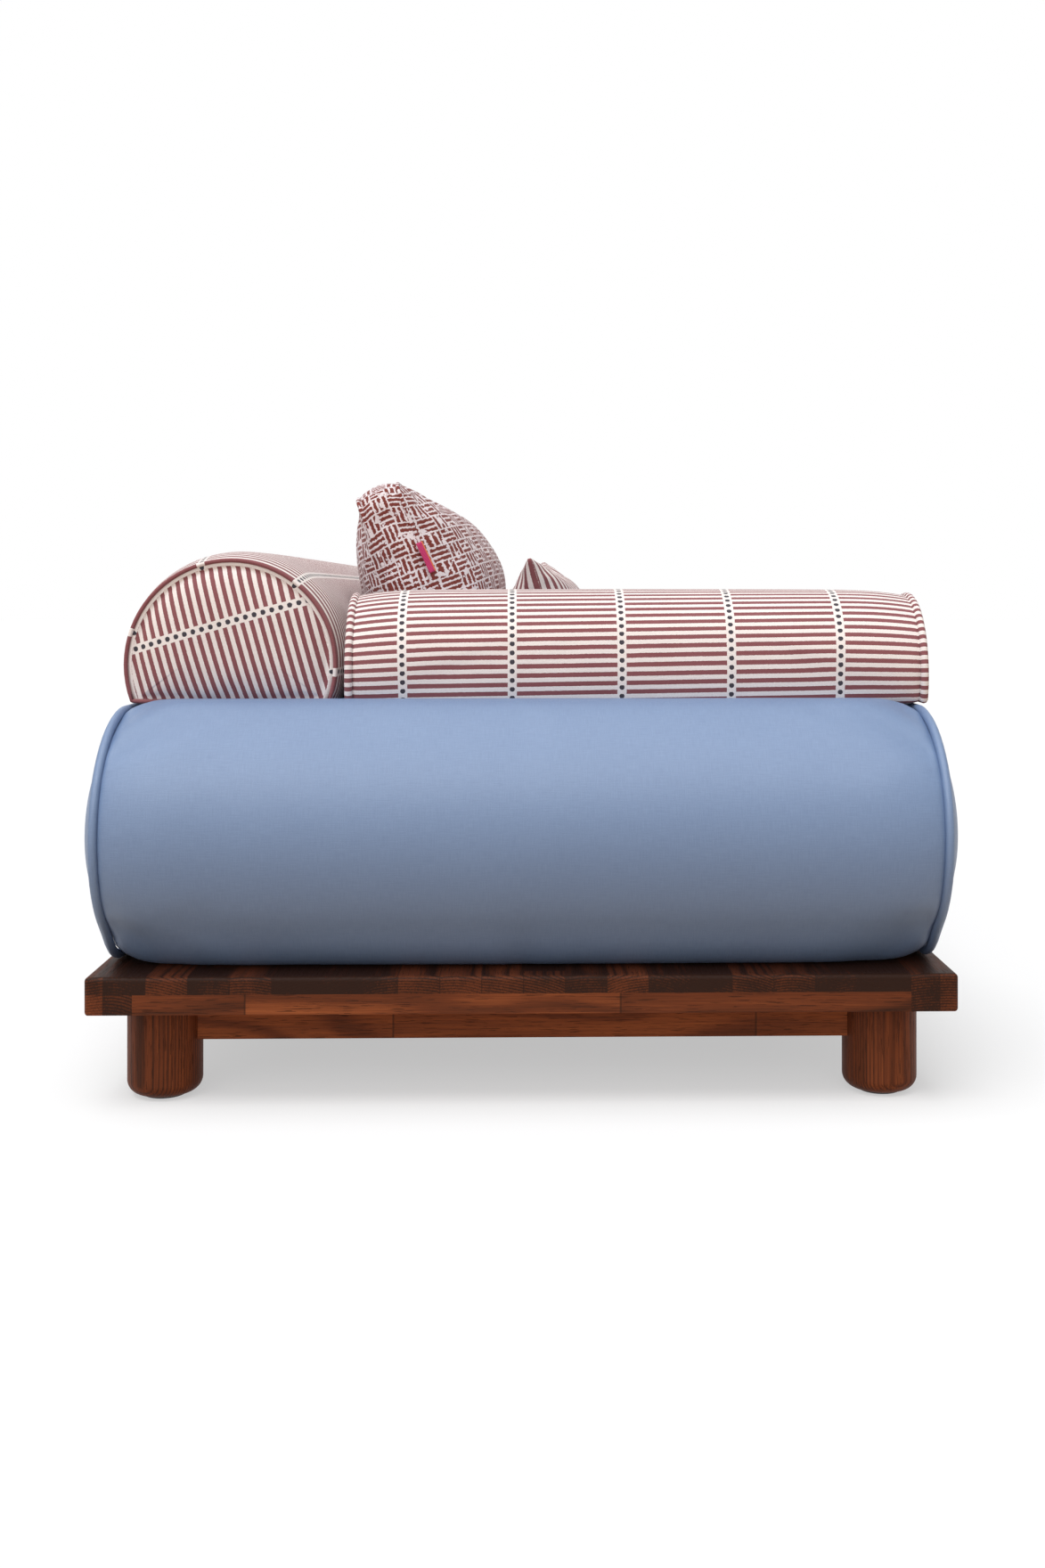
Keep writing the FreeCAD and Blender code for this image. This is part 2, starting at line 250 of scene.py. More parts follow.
def makeTape(look):
    tape = Finish("pinkRibbedTape")
    place = tape.node("ShaderNodeUVMap", {"uv_map": "cloth"})
    u, v = tape.split(place)[:2]
    rib = ((u * (2 * math.pi / look["rib"])).sine() + 1) / 2
    # painted shade: the ribs' hollows are coloured darker than their crests, on top of the bump
    colour = tape.mix(rib, look["pinkRibHollowShade"], look["pink"])
    colour = tape.mix(v > look["edgeFrom"], colour, look["edge"])
    tape.feed(Base_Color=colour, Roughness=0.7 - rib * 0.1, Sheen_Weight=0.2)
    tape.bump(rib, look["strength"], look["depth"])
    return tape.material


hardwood = {"dark": linear(44, 24, 15), "mid": linear(110, 57, 33), "light": linear(164, 92, 53),
            "stave": 0.048, "lamella": 0.43, "finger": 0.0075, "ring": 0.0031, "pore": 0.0011,
            "strength": 0.45, "depth": 0.0007}


def makeWood(name, look, grain, tone, contrast, glued=True):  # grain: the axis that the fibres follow
    wood = Finish(name)
    place = wood.node("ShaderNodeTexCoord", out="Object")
    parts = wood.split(place)
    along, side, up = parts[grain], parts[(grain + 1) % 3], parts[(grain + 2) % 3]
    wander = wood.grainNoise(wood.join(along * 1.3, side * 5, up * 5), 1.0, 2.0) - 0.5
    if glued:  # staves side by side, each of lamellas finger-jointed end to end
        share = side / look["stave"]
        stave = share.floor()
        zigzag = abs((up / look["finger"]).fract() - 0.5) * 0.02
        length = (along + zigzag) / look["lamella"] + (stave * 0.618).fract()
        lamella = length.floor()
        seam = ((abs(share - stave - 0.5) > 0.486) + (abs(length - lamella - 0.5) > 0.4975)).limit()
        chance = {"W": stave * 7.31 + lamella * 3.17 + 0.37}
        heart = side - (stave + 0.5) * look["stave"]
    else:
        seam, heart, chance = wander * 0, side, {"W": 0.37}
    tick = wood.node("ShaderNodeTexWhiteNoise", {"noise_dimensions": "1D"}, chance, "Color")
    first, second, third = wood.split(tick)
    farSide, farUp = heart + (first - 0.5) * 0.11, up + (second - 0.3) * 0.16  # each stave's own pith
    radius = (farSide * farSide + farUp * farUp + 0.0004).root() + wander * 0.024
    ring = ((radius * (2 * math.pi / look["ring"])).sine() + 1) / 2
    late = ring * ring * ring
    fibre = wood.grainNoise(wood.join(along * 9, side * 480, up * 480), 1.0, 3.0, 0.6)
    pores = wood.grainNoise(wood.join(along * 40, side / look["pore"], up / look["pore"]), 1.0, 1.0)
    cloud = wood.grainNoise(wood.join(along * 3, side * 24, up * 24), 1.0, 3.0)
    tint = tone + (third - 0.5) * contrast + (cloud - 0.5) * 0.75 - (late - 0.3) * 0.3 + (fibre - 0.5) * 0.7
    stops = [(0.0, look["dark"]), (0.5, look["mid"]), (1.0, look["light"])]
    colour = wood.node("ShaderNodeValToRGB", {"stops": stops}, {0: tint.limit()})
    pit = pores > 0.63
    colour = wood.mix(pit * 0.6, colour, look["dark"])
    colour = wood.mix(seam * 0.6, colour, look["dark"])
    wood.feed(Base_Color=colour, Roughness=0.5 + (fibre - 0.5) * 0.3 + pit * 0.15, Specular_IOR_Level=0.12)
    wood.bump(fibre * 0.7 + ring * 0.2 - pit * 0.9 - seam * 0.7, look["strength"], look["depth"])
    return wood.material


smallParts = {"glide": linear(40, 40, 42), "steel": linear(176, 178, 182)}


def makePlain(name, colour, metal, roughness):
    plain = Finish(name)
    place = plain.node("ShaderNodeTexCoord", out="Object")
    speck = plain.grainNoise(place, 900.0, 3.0)
    plain.feed(Base_Color=plain.mix(speck * 0.4, colour, tuple(c * 0.6 for c in colour[:3]) + (1.0,)),
               Metallic=metal, Roughness=roughness + (speck - 0.5) * 0.2)
    plain.bump(speck, 0.2, 0.0003)
    return plain.material


blueFabric = makeBlueFabric(blueWeave)
stripedFabric = makeStripedFabric(stripes)
printFabric = makePrintFabric(basketPrint)
tapeFabric = makeTape(ribbedTape)
longWood = makeWood("hardwoodAlongSofa", hardwood, 0, 0.04, 0.45)
railWood = makeWood("hardwoodRail", hardwood, 0, 0.26, 0.45)
crossWood = makeWood("hardwoodAcrossSofa", hardwood, 1, 0.55, 0.4)
apronWood = makeWood("hardwoodApron", hardwood, 1, 0.56, 0.4)
longApronWood = makeWood("hardwoodLongApron", hardwood, 0, 0.36, 0.4)
legWood = makeWood("hardwoodLeg", hardwood, 2, 0.30, 0.4, False)
glidePlastic = makePlain("glidePlastic", smallParts["glide"], 0.0, 0.6)
boltSteel = makePlain("boltSteel", smallParts["steel"], 1.0, 0.35)
print("finishes made")

# the CAD's own wood and fittings keep their meshes

woodOf = {"leg_front": legWood, "leg_back": legWood, "front_rail": railWood, "back_rail": railWood,
          "deck_plank": longWood, "end_cleat": crossWood, "bearer": crossWood, "end_apron": apronWood,
          "front_apron": longApronWood, "back_apron": longApronWood, "foot_glides": glidePlastic,
          "leg_bolts": boltSteel}
for name, node in nodes.items():
    for start, finish in woodOf.items():
        if name.startswith(start):
            node.data.materials.clear()
            node.data.materials.append(finish)
print("wood finished")

# soft pieces: a cross-section is pulled along the local Z axis, then turned into its place


def addPiece(name, bm, finish, body, replaced):
    mesh = bpy.data.meshes.new(name)
    bm.to_mesh(mesh)
    bm.free()
    mesh.materials.append(finish)
    piece = bpy.data.objects.new(name, mesh)
    bpy.context.scene.collection.objects.link(piece)
    mesh.shade_smooth()
    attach(piece, body)
    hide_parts(*replaced)
    return piece


def bolsterSection(bm, form):  # a circle with a flat, round-cornered base
    radius, rise = form["radius"], form["axisRise"]
    bmesh.ops.create_circle(bm, cap_ends=True, segments=form["segments"], radius=radius)
    bmesh.ops.bisect_plane(bm, geom=bm.verts[:] + bm.edges[:] + bm.faces[:], plane_co=(0, -rise, 0),
                           plane_no=(0, -1, 0), clear_outer=True)
    corners = [v for v in bm.verts if v.co.y < -rise + 1e-5]
    bmesh.ops.bevel(bm, geom=corners, offset=form["corner"], segments=4, affect="VERTICES", profile=0.5,
                    material=-1)
    bmesh.ops.delete(bm, geom=bm.faces[:], context="FACES_ONLY")
    base = [e for e in bm.edges if e.calc_length() > radius * 0.5]
    bmesh.ops.subdivide_edges(bm, edges=base, cuts=form["segments"] // 5)
    return bmesh.ops.edgeloop_fill(bm, edges=bm.edges[:])["faces"][0]


def seatSection(bm, form):  # a flat run with a half round at each end
    radius, half = form["height"] / 2, form["length"] / 2
    bmesh.ops.create_circle(bm, segments=form["segments"], radius=radius)
    bmesh.ops.rotate(bm, verts=bm.verts[:], matrix=Matrix.Rotation(math.pi / form["segments"], 3, "Z"))
    for side in (1, -1):
        end = [v for v in bm.verts if v.co.x * side > 0]
        bmesh.ops.translate(bm, verts=end, vec=(side * (half - radius), 0, 0))
    runs = [e for e in bm.edges if e.calc_length() > radius]
    bmesh.ops.subdivide_edges(bm, edges=runs, cuts=form["cuts"])
    return bmesh.ops.edgeloop_fill(bm, edges=bm.edges[:])["faces"][0]


def pull(bm, face, form, reach):  # rings from end to end, drawn in at the two rims
    half, rim, run = form["half"], form["rimInset"], form["shoulder"]
    steps = [0.0, 0.003, 0.007, 0.013, 0.022, 0.036, 0.056, 0.08, 0.105]  # close together near a rim
    grooveWidth = steps[2]
    inner = 2 * half - 2 * steps[-1]
    count = max(2, round(inner / form["ring"]))
    places = steps + [steps[-1] + inner * k / count for k in range(1, count)]
    places += [2 * half - s for s in reversed(steps)]
    first, before, level = face, (1.0, 1.0), 0.0
    for place in places:
        near = min(place, 2 * half - place)
        inset = rim * (1 - math.sin(min(near / run, 1) * math.pi / 2) ** 0.7)
        inset += form["groove"] * max(0, 1 - near / grooveWidth)  # the seam beside the piping
        size = tuple((r - inset) / r for r in reach)
        if place > 0:
            grown = bmesh.ops.extrude_face_region(bm, geom=[face])["geom"]
            if face.is_valid and face is not first:
                bmesh.ops.delete(bm, geom=[face], context="FACES_ONLY")
            face = next(g for g in grown if isinstance(g, bmesh.types.BMFace))
        verts = list(face.verts)
        bmesh.ops.translate(bm, verts=verts, vec=(0, 0, place - level))
        bmesh.ops.scale(bm, verts=verts, vec=(size[0] / before[0], size[1] / before[1], 1))
        before, level = size, place
    bmesh.ops.translate(bm, verts=bm.verts[:], vec=(0, 0, -half))
    bmesh.ops.recalc_face_normals(bm, faces=bm.faces[:])
    return first, face


def crown(bm, face, form, reach):  # an end panel dips inside its piping and swells to the middle
    outward = math.copysign(1, face.calc_center_median().z)
    middle = face.calc_center_bounds()
    before, deep = (1.0, 1.0), 0.0
    for inset, depth in form["crown"]:
        grown = bmesh.ops.extrude_face_region(bm, geom=[face])["geom"]
        if face.is_valid:  # no wall is left inside
            bmesh.ops.delete(bm, geom=[face], context="FACES_ONLY")
        for edge in (g for g in grown if isinstance(g, bmesh.types.BMEdge)):
            for side in edge.link_faces:
                side.material_index = 1
        face = next(g for g in grown if isinstance(g, bmesh.types.BMFace))
        verts = list(face.verts)
        size = tuple((r - inset) / r for r in reach)
        bmesh.ops.scale(bm, verts=verts, vec=(size[0] / before[0], size[1] / before[1], 1),
                        space=Matrix.Translation(-middle))
        bmesh.ops.translate(bm, verts=verts, vec=(0, 0, (depth - deep) * outward))
        before, deep = size, depth
    face.material_index = 1
    bmesh.ops.triangulate(bm, faces=[face])  # a fan of this many edges would stall the subdivision


def clothMap(bm, bodyMap, panelMap):  # both give metres on the cloth: along the stripes, across them
    layer = bm.loops.layers.uv.new("cloth")
    for face in bm.faces:
        spots = [(panelMap if face.material_index else bodyMap)(l.vert.co) for l in face.loops]
        for loop, spot in zip(face.loops, spots):
            u, v = spot[:2]
            if len(spot) > 2:  # the wrap under the base
                full, axis = spot[2], spot[3]
                other = spots[0][axis]
                value = spot[axis]
                value += full * round((other - value) / full)
                u, v = (value, v) if axis == 0 else (u, value)
            loop[layer].uv = (u, v)
    for face in bm.faces:
        face.material_index = 0


def swell(piece, pinned, form):  # the cover is blown up between its seams, and no point goes far
    rest = [v.co.copy() for v in piece.data.vertices]
    seam = piece.vertex_groups.new(name="seam")
    seam.add(pinned, 1.0, "REPLACE")
    cloth = piece.modifiers.new("swell", "CLOTH")
    cloth.settings.quality = 5
    cloth.settings.use_pressure = True
    cloth.settings.uniform_pressure_force = form["pressure"]
    cloth.settings.vertex_group_mass = "seam"
    cloth.settings.effector_weights.gravity = 0
    cloth.settings.shrink_min = -form["ease"]
    cloth.settings.bending_stiffness = form.get("bending", 0.5)
    cloth.point_cache.frame_end = form["frames"]
    scene = bpy.context.scene
    for step in range(1, form["frames"] + 1):
        scene.frame_set(step)
    made = piece.evaluated_get(bpy.context.evaluated_depsgraph_get())
    moved = [v.co.copy() for v in made.data.vertices]
    piece.modifiers.remove(cloth)
    piece.vertex_groups.remove(seam)
    scene.frame_set(1)
    far = 0.0
    for vert, old, new in zip(piece.data.vertices, rest, moved):
        step = new - old
        far = max(far, step.length)
        if step.length > form["cap"]:
            step *= form["cap"] / step.length
        vert.co = old + step
    print(piece.name, "swelled by up to", round(far * 1000, 1), "mm")


def keepInside(piece, low, high):  # soft pieces press flat against what they touch
    for vert in piece.data.vertices:
        vert.co = Vector(max(a, min(b, c)) for c, a, b in zip(vert.co, low, high))


def soften(piece):
    rounding = piece.modifiers.new("rounding", "SUBSURF")
    rounding.levels = rounding.render_levels = 1


def pipeRound(bm, points, radius):  # the piping follows the rim as a closed tube
    path = bpy.data.curves.new("rim", "CURVE")
    path.dimensions = "3D"
    path.bevel_depth = radius
    path.bevel_resolution = 3
    line = path.splines.new("POLY")
    line.points.add(len(points) - 1)
    for spot, point in zip(line.points, points):
        spot.co = (*point, 1.0)
    line.use_cyclic_u = True
    holder = bpy.data.objects.new("rim", path)
    mesh = bpy.data.meshes.new_from_object(holder)
    bm.from_mesh(mesh)
    bpy.data.objects.remove(holder)
    bpy.data.curves.remove(path)
    bpy.data.meshes.remove(mesh)


noBound = 9.0  # further than any piece reaches
clear = 0.0006  # under a piping that lies on another piece
bolsterAxes = {"backY": 0.360, "armX": 0.831, "armY": -0.139}

# seat

seat = {"length": 2.180, "height": 0.312, "half": 0.4855, "segments": 64, "cuts": 118, "rimInset": 0.015,
        "shoulder": 0.09, "ring": 0.0165, "pressure": 2.0, "ease": 0.004, "frames": 16, "cap": 0.006,
        "pipe": 0.0055, "groove": 0.005, "dent": 0.010, "fall": 0.018, "settle": 0.05,
        "backPrint": (0.935, 0.142), "armPrint": (0.108, 0.366),
        "crown": [(0.007, -0.004), (0.015, 0.003), (0.028, 0.011), (0.05, 0.018), (0.085, 0.0222),
                  (0.12, 0.0235)]}
footprints = [((0, bolsterAxes["backY"]), seat["backPrint"])]
footprints += [((side * bolsterAxes["armX"], bolsterAxes["armY"]), seat["armPrint"]) for side in (-1, 1)]


def settled(height):  # a point near the deck is pressed closer to it by the seat's weight
    part = max(0.0, min(1.0, height / seat["settle"]))
    return height * part * part * (3 - 2 * part)


def pressIn(piece, form):  # the bolsters' weight sinks the seat's top a little
    for vert in piece.data.vertices:
        if vert.co.z < seatTop - 0.02:
            vert.co.z = deckTop + settled(vert.co.z - deckTop)
            continue
        sunk = 0.0
        for (x, y), (halfX, halfY) in footprints:
            edges = [(halfX - abs(vert.co.x - x)) / form["fall"], (halfY - abs(vert.co.y - y)) / form["fall"]]
            a, b = (max(0.0, min(1.0, e)) for e in edges)
            sunk = max(sunk, a * a * (3 - 2 * a) * b * b * (3 - 2 * b))
        vert.co.z -= sunk * form["dent"]


def makeSeat(form):
    radius, flat = form["height"] / 2, form["length"] / 2 - form["height"] / 2

    def girth(co):  # distance round the section from the middle of the top
        past = abs(co.x) - flat
        if past <= 0:
            way = abs(co.x) if co.y > 0 else 2 * flat + math.pi * radius - abs(co.x)
        else:
            way = flat + radius * math.atan2(past, co.y)
        return math.copysign(way, co.x)

    bm = bmesh.new()
    face = seatSection(bm, form)
    outline = [v.co.copy() for v in face.verts]
    ends = pull(bm, face, form, (form["length"] / 2, radius))
    rims = {tuple(v.co) for f in ends for v in f.verts}
    for end in ends:
        crown(bm, end, form, (form["length"] / 2, radius))
    fullGirth = 4 * flat + 2 * math.pi * radius
    clothMap(bm, lambda co: (co.z, girth(co), fullGirth, 1), lambda co: (co.y, co.x))
    pinned = [k for k, v in enumerate(bm.verts) if tuple(v.co) in rims]
    turn = Matrix(((1, 0, 0, 0), (0, 0, -1, 0), (0, 1, 0, deckTop + radius + 0.0002), (0, 0, 0, 1)))
    bm.transform(turn)
    piece = addPiece("seatCushionCover", bm, blueFabric, "seat", ["seat_cushion"])
    swell(piece, pinned, form)
    keepInside(piece, (-noBound, -noBound, deckTop), (noBound, noBound, seatTop - 0.0004))
    pressIn(piece, form)
    soften(piece)
    for side, node in ((1, "front"), (-1, "back")):
        bm = bmesh.new()
        shrink = [(r - form["rimInset"] - 0.0005) / r for r in (form["length"] / 2, radius)]
        lowest = form["pipe"] + clear
        heights = [max(settled(p.y * shrink[1] + radius), lowest) - radius for p in outline]
        points = [Vector((p.x * shrink[0], y, side * form["half"])) for p, y in zip(outline, heights)]
        pipeRound(bm, points, form["pipe"])
        finishPiping(bm, "seatPiping" + node.capitalize(), turn, lambda co: (co.z, girth(co)), blueFabric,
                     "seat", ["seat_piping_" + node])


def finishPiping(bm, name, turn, tubeMap, finish, body, replaced):
    while bm.loops.layers.uv:
        bm.loops.layers.uv.remove(bm.loops.layers.uv[0])
    layer = bm.loops.layers.uv.new("cloth")
    for face in bm.faces:
        for loop in face.loops:
            loop[layer].uv = tubeMap(loop.vert.co)
    bm.transform(turn)
    bmesh.ops.recalc_face_normals(bm, faces=bm.faces[:])
    addPiece(name, bm, finish, body, replaced)


makeSeat(seat)
print("seat made")

# bolsters

backRest = {"radius": 0.139, "axisRise": 0.0488, "corner": 0.012, "segments": 72, "half": 0.914,
            "rimInset": 0.013, "shoulder": 0.08, "groove": 0.005, "ring": 0.016, "pressure": 3.0,
            "ease": 0.006, "frames": 16, "cap": 0.004, "pipe": 0.0026, "proud": 0.0021,
            "stripeFrom": 0.0038, "bandFrom": 0.040, "panelBand": 0.050, "panelTilt": 15.8,
            "room": (0.2195, 0.5015),
            "crown": [(0.005, -0.002), (0.012, 0.003), (0.024, 0.007), (0.042, 0.0105), (0.066, 0.0125),
                      (0.095, 0.013)]}
armRest = {"radius": 0.103, "axisRise": 0.035, "corner": 0.012, "segments": 64, "half": 0.3535,
           "rimInset": 0.007, "shoulder": 0.07, "groove": 0.005, "ring": 0.012, "pressure": 3.0,
           "ease": 0.008, "frames": 16, "cap": 0.004, "pipe": 0.0050, "proud": 0.0015,
           "bandFrom": -0.019, "panelBand": 0.03, "panelTilt": 4.0, "skew": 0.017, "room": (-0.507, 0.2175),
           "crown": [(0.005, -0.002), (0.010, 0.002), (0.020, 0.006), (0.034, 0.0095), (0.052, 0.0115),
                     (0.072, 0.012)]}


def makeBolster(form, name, turn, body, node, lengthwise):
    radius, rise = form["radius"], form["axisRise"]
    lean = math.radians(form["panelTilt"])
    around = 2 * math.pi * radius

    def arc(co):
        return radius * math.atan2(co.x, co.y)

    def bodyMap(co):
        if lengthwise:  # the arm's stripes run from end to end
            return (co.z - form["bandFrom"], arc(co) - form["skew"] * co.z, around, 1)
        return (arc(co) - form["bandFrom"], co.z + form["stripeFrom"], around, 0)

    def panelMap(co):
        return (co.x * math.sin(lean) + co.y * math.cos(lean) - form["panelBand"],
                co.x * math.cos(lean) - co.y * math.sin(lean))

    def pipeMap(co):
        if lengthwise:
            return (stripes["bandPitch"] / 2, arc(co) - form["skew"] * co.z)
        return (arc(co) - form["bandFrom"], stripes["period"] * 0.21)

    bm = bmesh.new()
    face = bolsterSection(bm, form)
    outline = [v.co.copy() for v in face.verts]
    ends = pull(bm, face, form, (radius, radius))
    rims = {tuple(v.co) for f in ends for v in f.verts}
    for end in ends:
        crown(bm, end, form, (radius, radius))
    clothMap(bm, bodyMap, panelMap)
    pinned = [k for k, v in enumerate(bm.verts) if tuple(v.co) in rims]
    bm.transform(turn)
    piece = addPiece(name + "Cover", bm, stripedFabric, body, [node])
    swell(piece, pinned, form)
    front, back = form["room"]
    keepInside(piece, (-noBound, front, -noBound), (noBound, back, noBound))
    soften(piece)
    bm = bmesh.new()
    for side in (1, -1):
        size = (radius - form["rimInset"] + form["proud"]) / radius
        lift = -rise + form["pipe"] + clear  # the tube's underside rests on the seat
        points = [Vector((p.x * size, max(p.y * size, lift), side * form["half"])) for p in outline]
        pipeRound(bm, points, form["pipe"])
    finishPiping(bm, name + "Piping", turn, pipeMap, stripedFabric, body,
                 [node + "_piping"])


def turnTo(x, y, z):  # local X, Y and Z become these directions
    return Matrix((x, y, z)).transposed().to_4x4()


backAxis = Vector((0, bolsterAxes["backY"], seatTop - seat["dent"] + backRest["axisRise"]))
makeBolster(backRest, "backBolster", Matrix.Translation(backAxis) @ turnTo((0, 1, 0), (0, 0, 1), (1, 0, 0)),
            "back_rest", "back_bolster", False)
for side, hand in ((-1, "left"), (1, "right")):
    rise = seatTop - seat["dent"] + armRest["axisRise"]
    axis = Vector((side * bolsterAxes["armX"], bolsterAxes["armY"], rise))
    turn = Matrix.Translation(axis) @ turnTo((1, 0, 0), (0, 0, 1), (0, -1, 0))
    makeBolster(armRest, hand + "ArmBolster", turn, hand + "_arm", "arm_bolster_" + hand, True)
print("bolsters made")

# pillows: a box or knife-edged cover is crowned, leaned back and swelled

boxPillow = {"width": 0.480, "height": 0.274, "gusset": 0.058, "frontBulge": 0.082, "backBulge": 0.050,
             "drawIn": 0.010, "cuts": (46, 6, 26), "fullness": 0.62, "slope": 1.9, "sag": 0.1, "puff": 0.008,
             "lean": 21.0, "turn": 0.0, "pressure": 3.0, "ease": 0.02, "frames": 16, "cap": 0.008,
             "bending": 0.2, "welt": 0.0026, "corner": 0.034, "centre": (-0.470, 0.153, seatTop + 0.1405),
             "armSide": -0.7225, "rest": 0.0028, "hollow": 0.006}
stripePillow = {"width": 0.320, "height": 0.180, "gusset": 0.006, "frontBulge": 0.050, "backBulge": 0.060,
                "drawIn": 0.018, "cuts": (40, 2, 22), "fullness": 0.6, "slope": 2.2, "sag": 0.0, "puff": 0.0,
                "lean": 13.0, "turn": -4.0, "pressure": 3.0, "ease": 0.02, "frames": 16, "cap": 0.007,
                "bending": 0.2, "corner": 0.006, "centre": (-0.508, -0.0438, seatTop + 0.0885),
                "rest": 0.0004, "gap": 0.003, "shiftLimit": 0.006}
clothFrom = {"start": 0.03, "back": 0.7, "end": 1.3, "top": 2.1, "welt": 0.35}  # where each panel is cut


def pillowForm(form):
    half = Vector((form["width"] / 2, form["gusset"] / 2, form["height"] / 2))
    bm = bmesh.new()
    bmesh.ops.create_cube(bm, size=2.0)
    bmesh.ops.scale(bm, vec=half, verts=bm.verts[:])
    for axis in range(3):
        edges = [e for e in bm.edges if abs((e.verts[0].co - e.verts[1].co)[axis]) > half[axis]]
        bmesh.ops.subdivide_edges(bm, edges=edges, cuts=form["cuts"][axis], use_grid_fill=True)
    layer = bm.loops.layers.uv.new("cloth")
    for face in bm.faces:
        n = face.normal
        for loop in face.loops:
            co = loop.vert.co
            if abs(n.y) > 0.5:
                spot = (co.z + clothFrom["start"], co.x + (clothFrom["back"] if n.y > 0 else 0.0))
            elif abs(n.x) > 0.5:
                spot = (co.z + clothFrom["start"], co.y + clothFrom["end"])
            else:
                spot = (co.y + clothFrom["top"], co.x)
            loop[layer].uv = spot
    seams = [(v.co.y, math.atan2(v.co.z / half.z, v.co.x / half.x), k) for k, v in enumerate(bm.verts)
             if abs(v.co.y) > half.y - 1e-5 and (abs(v.co.x) > half.x - 1e-5 or abs(v.co.z) > half.z - 1e-5)]
    for v in bm.verts:
        a, b, c = v.co.x / half.x, v.co.z / half.z, v.co.y / half.y
        low = b + form["sag"] * (1 - b * b)  # the filling sinks towards the base
        rise = max(0.0, (1 - abs(a) ** 2.4) * (1 - abs(low) ** form["slope"])) ** form["fullness"]
        if max(abs(a), abs(b)) > 0.999:  # the gusset is crowned between its seams
            v.co.x += a * form["puff"] * (1 - c * c)
            v.co.z += b * form["puff"] * (1 - c * c)
        if abs(v.co.y) > half.y - 1e-5:
            v.co.y += math.copysign(rise * (form["frontBulge"] if v.co.y < 0 else form["backBulge"]), v.co.y)
        v.co.x *= 1 - form["drawIn"] / half.x * (1 - b * b)
        v.co.z *= 1 - form["drawIn"] / half.z * (1 - a * a)
        past = [abs(v.co.x) - half.x + form["corner"], abs(v.co.z) - half.z + form["corner"]]
        if min(past) > 0:  # the corners are rounded in the panel's plane
            less = max(past) / math.hypot(*past)
            v.co.x -= math.copysign(past[0] * (1 - less), v.co.x)
            v.co.z -= math.copysign(past[1] * (1 - less), v.co.z)
        v.co += noise.noise_vector(v.co * 14) * 0.0022
    return bm, seams


def addWelts(piece, form, seams, finish, body):  # a thin rolled seam along each panel's edge
    bm = bmesh.new()
    for side in (-1, 1):
        loop = sorted((seam for seam in seams if seam[0] * side > 0), key=lambda seam: seam[1])
        pipeRound(bm, [piece.data.vertices[k].co for y, turn, k in loop], form["welt"])
    tilt = stand(form).inverted()

    def weltMap(co):
        local = tilt @ co
        return (local.z + clothFrom["start"], local.x + clothFrom["welt"])

    finishPiping(bm, piece.name.replace("Cover", "Welts"), Matrix.Identity(4), weltMap, finish, body,
                 [])


def stand(form):
    return (Matrix.Translation(form["centre"]) @ Matrix.Rotation(math.radians(form["turn"]), 4, "Z")
            @ Matrix.Rotation(math.radians(-form["lean"]), 4, "X"))


def pushOut(piece, axis, radius):  # the pillow presses into a hollow where it leans on the bolster
    for vert in piece.data.vertices:
        off = Vector((0, vert.co.y - axis.y, vert.co.z - axis.z))
        if off.length < radius:
            vert.co += off.normalized() * (radius - off.length)


def treeOf(piece):
    return BVHTree.FromObject(piece, bpy.context.evaluated_depsgraph_get())


bm, seams = pillowForm(boxPillow)
bm.transform(stand(boxPillow))
largePillow = addPiece("boxPillowCover", bm, printFabric, "large_pillow",
                       ["large_pillow"])
swell(largePillow, [k for y, turn, k in seams], boxPillow)
keepInside(largePillow, (boxPillow["armSide"], -noBound, seatTop + boxPillow["rest"]),
           (noBound, noBound, noBound))
pushOut(largePillow, backAxis, backRest["radius"] + boxPillow["hollow"])
addWelts(largePillow, boxPillow, seams, printFabric, "large_pillow")
soften(largePillow)

bm, seams = pillowForm(stripePillow)
bm.transform(stand(stripePillow))
smallPillow = addPiece("stripePillowCover", bm, stripedFabric, "small_pillow",
                       ["small_pillow"])
swell(smallPillow, [k for y, turn, k in seams], stripePillow)
keepInside(smallPillow, (-noBound, -noBound, seatTop + stripePillow["rest"]), (noBound, noBound, noBound))
bpy.context.view_layer.update()
behind = treeOf(largePillow)
gaps = []  # from the small pillow back to the large one
for vert in smallPillow.data.vertices:
    hit = behind.ray_cast(vert.co - Vector((0, 0.4, 0)), Vector((0, 1, 0)))[0]
    if hit:
        gaps.append(hit.y - vert.co.y)
shift = min(min(gaps) - stripePillow["gap"], stripePillow["shiftLimit"])
for vert in smallPillow.data.vertices:
    vert.co.y += shift
soften(smallPillow)
print("pillows made, the small one moved by", round(shift * 1000, 1), "mm")

# tab in the gusset's seam

tab = {"length": 0.044, "width": 0.009, "thickness": 0.0022, "middle": (0.134, 0.642), "lean": 25.0,
       "lift": 0.0045, "curl": 0.003}


